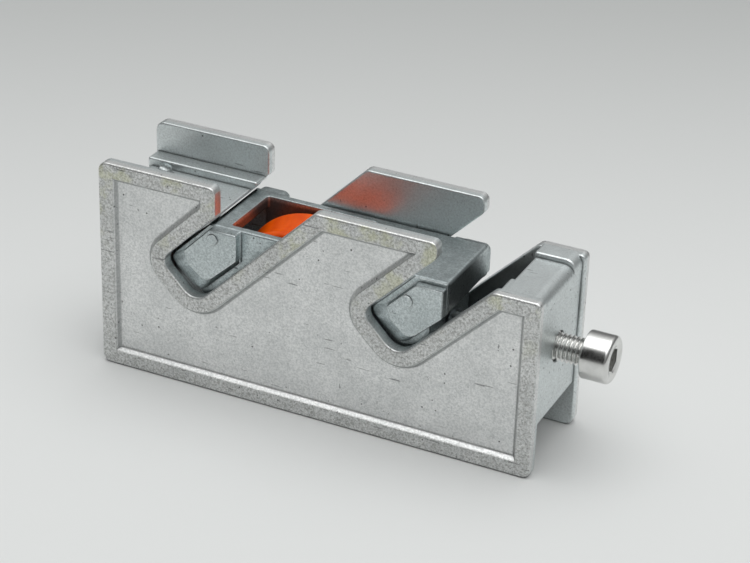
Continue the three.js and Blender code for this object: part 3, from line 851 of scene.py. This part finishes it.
def build_bearing():
    circle = 7.5
    race = BALL_R + 0.06
    half = BEARING_HALF
    seat = half - 0.75
    outer = [
        *arc(BEARING_R - 0.3, half - 0.3, 0.3, 0, 90, 4),
        (9.5, half), (9.35, half - 0.1), (9.35, seat), (9.0, seat),
        *arc(circle, 0, race, 43, -43, 12),
        (9.0, -seat), (9.35, -seat), (9.35, -half + 0.1), (9.5, -half),
        *arc(BEARING_R - 0.3, -half + 0.3, 0.3, -90, 0, 4),
    ]
    ring = revolve("bearing_outer_race", outer, AXLE)
    finish_piece(ring, "wheel", "bearing_steel", POLISHED, "bearing_outer_ring")
    inner = [
        (4.25, -half), (5.85, -half), (6.0, -half + 0.15), (6.0, -1.4),
        *arc(circle, 0, race, 223, 137, 12),
        (6.0, 1.4), (6.0, half - 0.15), (5.85, half), (4.25, half), (4.0, half - 0.25),
        (4.0, -half + 0.25),
    ]
    ring = revolve("bearing_inner_race", inner, AXLE)
    finish_piece(ring, "carrier", "bearing_steel", POLISHED, "bearing_inner_ring")
    for side, name in ((-1, "front"), (1, "rear")):
        face = side * 3.18
        back = side * 2.98
        dished = face - side * 0.12
        profile = [(6.3, back), (6.3, face), (6.9, face), (7.1, dished), (8.4, dished),
                   (8.6, face), (9.2, face), (9.3, face - side * 0.1), (9.3, back)]
        shield = revolve("bearing_shield_disc_" + name, profile, AXLE)
        finish_piece(shield, "wheel", "plated_steel", PLATED, "bearing_shield_" + name)
    build_cage()
    for k in range(1, 8):
        node = f"bearing_ball_{k}"
        profile = [(0, -BALL_R), *arc(0, 0, BALL_R, -80, 80, 16), (0, BALL_R)]
        ball = revolve(f"ball_{k}", profile, centre_of(node), "y", 36)
        finish_piece(ball, f"ball_{k}", "bearing_steel", POLISHED, node)


def build_cage():
    """Moulded crown cage with a pocket round each ball."""
    ring = [(6.75, -2.6), (6.85, -2.7), (8.15, -2.7), (8.25, -2.6),
            (8.25, 0.8), (8.15, 0.9), (6.85, 0.9), (6.75, 0.8)]
    cage = revolve("bearing_cage_crown", ring, AXLE, "y", 112)
    pockets = []
    for k in range(1, 8):
        r = BALL_R + 0.1
        centre = centre_of(f"bearing_ball_{k}")
        profile = [(0, -r), *arc(0, 0, r, -80, 80, 12), (0, r)]
        pockets.append(revolve("pocket", profile, centre, "y", 32))
    combine(cage, pockets, "DIFFERENCE")
    finish_piece(cage, "cage", "cage_nylon", BLACK, "bearing_cage")


def build_axle():
    end = size_of("axle_pin", 1) / 2
    profile = [
        (0, -end + 0.35), (1.3, -end + 0.3), (1.7, -end), (3.3, -end),
        *arc(3.45, -end + 0.5, 0.4, -60, 0, 4),
        *arc(3.45, end - 0.5, 0.4, 0, 60, 4),
        (3.3, end), (1.7, end), (1.3, end - 0.3), (0, end - 0.35),
    ]
    pin = revolve("axle_pin_turned", profile, AXLE)
    finish_piece(pin, "carrier", "bearing_steel", POLISHED, "axle_pin")
    for name in ("front", "rear"):
        node = "axle_spacer_" + name
        half = size_of(node, 1) / 2
        low = [(4.05, -half + 0.15), (4.2, -half), (5.45, -half), (5.6, -half + 0.15)]
        high = [(5.6, half - 0.15), (5.45, half), (4.2, half), (4.05, half - 0.15)]
        sleeve = revolve("spacer_sleeve_" + name, low + high, centre_of(node))
        finish_piece(sleeve, "carrier", "plated_steel", PLATED, node)


# ---- adjusting screw --------------------------------------------------------------------------------
def thread_depth(phase):
    """Depth below the crest, 0 to 1, over one pitch of a rounded 60 degree thread."""
    t = abs((phase % 1.0) - 0.5) * 2
    return min(1.0, max(0.0, (0.9 - t) / 0.75))


def build_screw():
    """Socket head cap screw with a true helical thread."""
    start = (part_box("adjusting_screw")[0].x - DATUM_X) / MM + 1.4
    around = 48
    rows_per_pitch = 12
    end = HEAD_SEAT
    rows = int((end - start) / THREAD_PITCH * rows_per_pitch)
    shell = Shell()
    hub = shell.ring([(start - 1.3, 0, SCREW_Z)])[0]
    rings = []
    for radius, x in ((0.9, start - 1.3), (1.0, start - 1.2), (1.0, start - 0.05), (1.6, start)):
        rings.append(circle_ring(shell, radius, x, around))
    for row in range(rows + 1):
        x = start + (end - start) * row / rows
        lead = max(0.0, 1 - (x - start) / 0.9)
        points = []
        for k in range(around):
            angle = 2 * math.pi * k / around
            phase = (x - start) / THREAD_PITCH - k / around
            radius = THREAD_R - THREAD_DEPTH * thread_depth(phase)
            radius = min(radius, THREAD_R - 0.75 * lead)
            if x > end - 0.5:
                radius = THREAD_R - 0.42
            points.append((x, radius * math.sin(angle), SCREW_Z + radius * math.cos(angle)))
        rings.append(shell.ring(points))
    head = [(THREAD_R + 0.3, HEAD_SEAT), (HEAD_R - 0.25, HEAD_SEAT), (HEAD_R - 0.06, HEAD_SEAT + 0.08),
            (HEAD_R, HEAD_SEAT + 0.3)]
    for radius, x in head:
        rings.append(circle_ring(shell, radius, x, around))
    round_r = 0.75
    for k in range(8):
        angle = math.pi / 2 * k / 7
        x = SCREW_END - round_r + round_r * math.sin(angle)
        rings.append(circle_ring(shell, HEAD_R - round_r + round_r * math.cos(angle), x, around))
    rings.append(circle_ring(shell, 2.75, SCREW_END, around))
    rings.append(circle_ring(shell, 2.4, SCREW_END - 0.28, around))
    floor = SCREW_END - 2.6
    for x in (SCREW_END - 0.36, floor):
        points = []
        for k in range(around):
            angle = 2 * math.pi * k / around
            sector = (angle % (math.pi / 3)) - math.pi / 6
            radius = HEX_HALF / math.cos(sector)
            points.append((x, radius * math.sin(angle), SCREW_Z + radius * math.cos(angle)))
        rings.append(shell.ring(points))
    shell.loft(rings)
    for k in range(around):
        shell.mesh.faces.new((rings[0][k - 1], rings[0][k], hub))
    bottom = shell.ring([(floor - 0.9, 0, SCREW_Z)])[0]
    for k in range(around):
        shell.mesh.faces.new((rings[-1][k - 1], rings[-1][k], bottom))
    screw = shell.finish("cap_screw")
    finish_piece(screw, "screw", "plated_steel", PLATED, "adjusting_screw", angle=40)


def circle_ring(shell, radius, x, around):
    points = []
    for k in range(around):
        angle = 2 * math.pi * k / around
        points.append((x, radius * math.sin(angle), SCREW_Z + radius * math.cos(angle)))
    return shell.ring(points)


def build_thrust_cap():
    low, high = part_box("thrust_cap")
    left = (low.x - DATUM_X) / MM
    right = (high.x - DATUM_X) / MM
    profile = [(0, left), (1.8, left), (2.05, left + 0.08), (2.2, left + 0.3),
               (2.2, right - 0.1), (2.1, right),
               (1.3, right), (1.25, left + 0.8), (0, left + 0.8)]
    cap = revolve("thrust_cap_turned", profile, (0, 0, SCREW_Z), "x", 64)
    finish_piece(cap, "thrust", "bearing_steel", POLISHED, "thrust_cap")


# ---- studio ---------------------------------------------------------------------------------------
HORIZON = 0.16                # light from the horizon
ZENITH_GAIN = 1.5             # light added towards the zenith
DARK_SIDE = (-0.37, -0.87, 0.33)
FLOOR_SIZE = 3.0              # metres
KEY_PLACE = (0.13, -0.05, 0.85)
KEY_SIZE = 1.1
KEY_POWER = 3.4
LENS = 108.23


def build_studio():
    """Pale paper floor, painted darker a little into the distance as light falloff, the sky and the
    key light.
    """
    shell = bmesh.new()
    bmesh.ops.create_grid(shell, x_segments=2, y_segments=2, size=FLOOR_SIZE)
    data = bpy.data.meshes.new("floor")
    shell.to_mesh(data)
    shell.free()
    floor = bpy.data.objects.new("floor", data)
    bpy.context.scene.collection.objects.link(floor)
    s = Surface("floor_paper", Roughness=0.85)
    along_y = s.math("MULTIPLY", s.where("Y"), 0.907)
    along_x = s.math("MULTIPLY", s.where("X"), 0.421)
    depth = s.math("SUBTRACT", along_y, along_x)
    # painted shade: the floor's colour darkens behind the object, standing in for light falloff
    fade = s.ramp(depth, -0.02, 0.3, 0, 1)
    s.link(s.mix(fade, (0.715, 0.725, 0.72, 1), (0.40, 0.41, 0.405, 1)), s.shader.inputs["Base Color"])
    data.materials.append(s.material)

    build_sky()
    add_area("key", KEY_PLACE, (0, 0, 0), KEY_SIZE, KEY_POWER)


def build_sky():
    """Soft overhead light that fades towards the horizon and on one dark side."""
    world = bpy.data.worlds.new("studio")
    world.use_nodes = True
    tree = world.node_tree
    place = tree.nodes.new("ShaderNodeTexCoord")
    parts = tree.nodes.new("ShaderNodeSeparateXYZ")
    tree.links.new(place.outputs["Generated"], parts.inputs[0])
    cube = tree.nodes.new("ShaderNodeMath")
    cube.operation = "POWER"
    cube.use_clamp = True
    tree.links.new(parts.outputs["Z"], cube.inputs[0])
    cube.inputs[1].default_value = 3
    strength = tree.nodes.new("ShaderNodeMath")
    strength.operation = "MULTIPLY_ADD"
    tree.links.new(cube.outputs[0], strength.inputs[0])
    strength.inputs[1].default_value = ZENITH_GAIN
    strength.inputs[2].default_value = HORIZON
    toward = tree.nodes.new("ShaderNodeVectorMath")
    toward.operation = "DOT_PRODUCT"
    toward.inputs[1].default_value = DARK_SIDE
    tree.links.new(place.outputs["Generated"], toward.inputs[0])
    opening = tree.nodes.new("ShaderNodeMapRange")
    opening.interpolation_type = "SMOOTHSTEP"
    opening.inputs["From Min"].default_value = 0.74
    opening.inputs["From Max"].default_value = 0.92
    opening.inputs["To Min"].default_value = 1.0
    opening.inputs["To Max"].default_value = 0.08
    tree.links.new(toward.outputs["Value"], opening.inputs["Value"])
    level = tree.nodes.new("ShaderNodeMath")
    level.operation = "MULTIPLY"
    tree.links.new(strength.outputs[0], level.inputs[0])
    tree.links.new(opening.outputs["Result"], level.inputs[1])
    background = tree.nodes["Background"]
    background.inputs["Color"].default_value = (0.99, 1.0, 0.995, 1)
    tree.links.new(level.outputs[0], background.inputs["Strength"])
    bpy.context.scene.world = world


def add_area(name, where, target, size, power):
    lamp = bpy.data.lights.new(name, "AREA")
    lamp.shape = "SQUARE"
    lamp.size = size
    lamp.energy = power
    made = bpy.data.objects.new(name, lamp)
    made.location = where
    direction = Vector(target) - Vector(where)
    made.rotation_euler = direction.to_track_quat("-Z", "Y").to_euler()
    bpy.context.scene.collection.objects.link(made)


def build_camera():
    """Camera in front of the screw end, looking down along the roller."""
    right = Vector((0.8993, 0.4362, 0.0308))
    up = Vector((-0.2292, 0.4100, 0.8828))
    away = right.cross(up).normalized()
    up = away.cross(right).normalized()
    right.normalize()
    camera = bpy.data.cameras.new("camera")
    camera.sensor_width = 36
    camera.lens = LENS
    made = bpy.data.objects.new("camera", camera)
    eye = Vector((DATUM_X + 0.1971, -OUTER * MM - 0.3060, 0.2097))
    basis = Matrix((right, up, away)).transposed()
    made.matrix_world = Matrix.Translation(eye) @ basis.to_4x4()
    bpy.context.scene.collection.objects.link(made)
    bpy.context.scene.camera = made


bpy.context.scene.view_settings.view_transform = "Standard"
build_camera()
build_housing()
build_insert()
build_carrier()
build_wheel()
build_bearing()
build_axle()
build_screw()
build_thrust_cap()
build_studio()

bpy.context.view_layer.update()
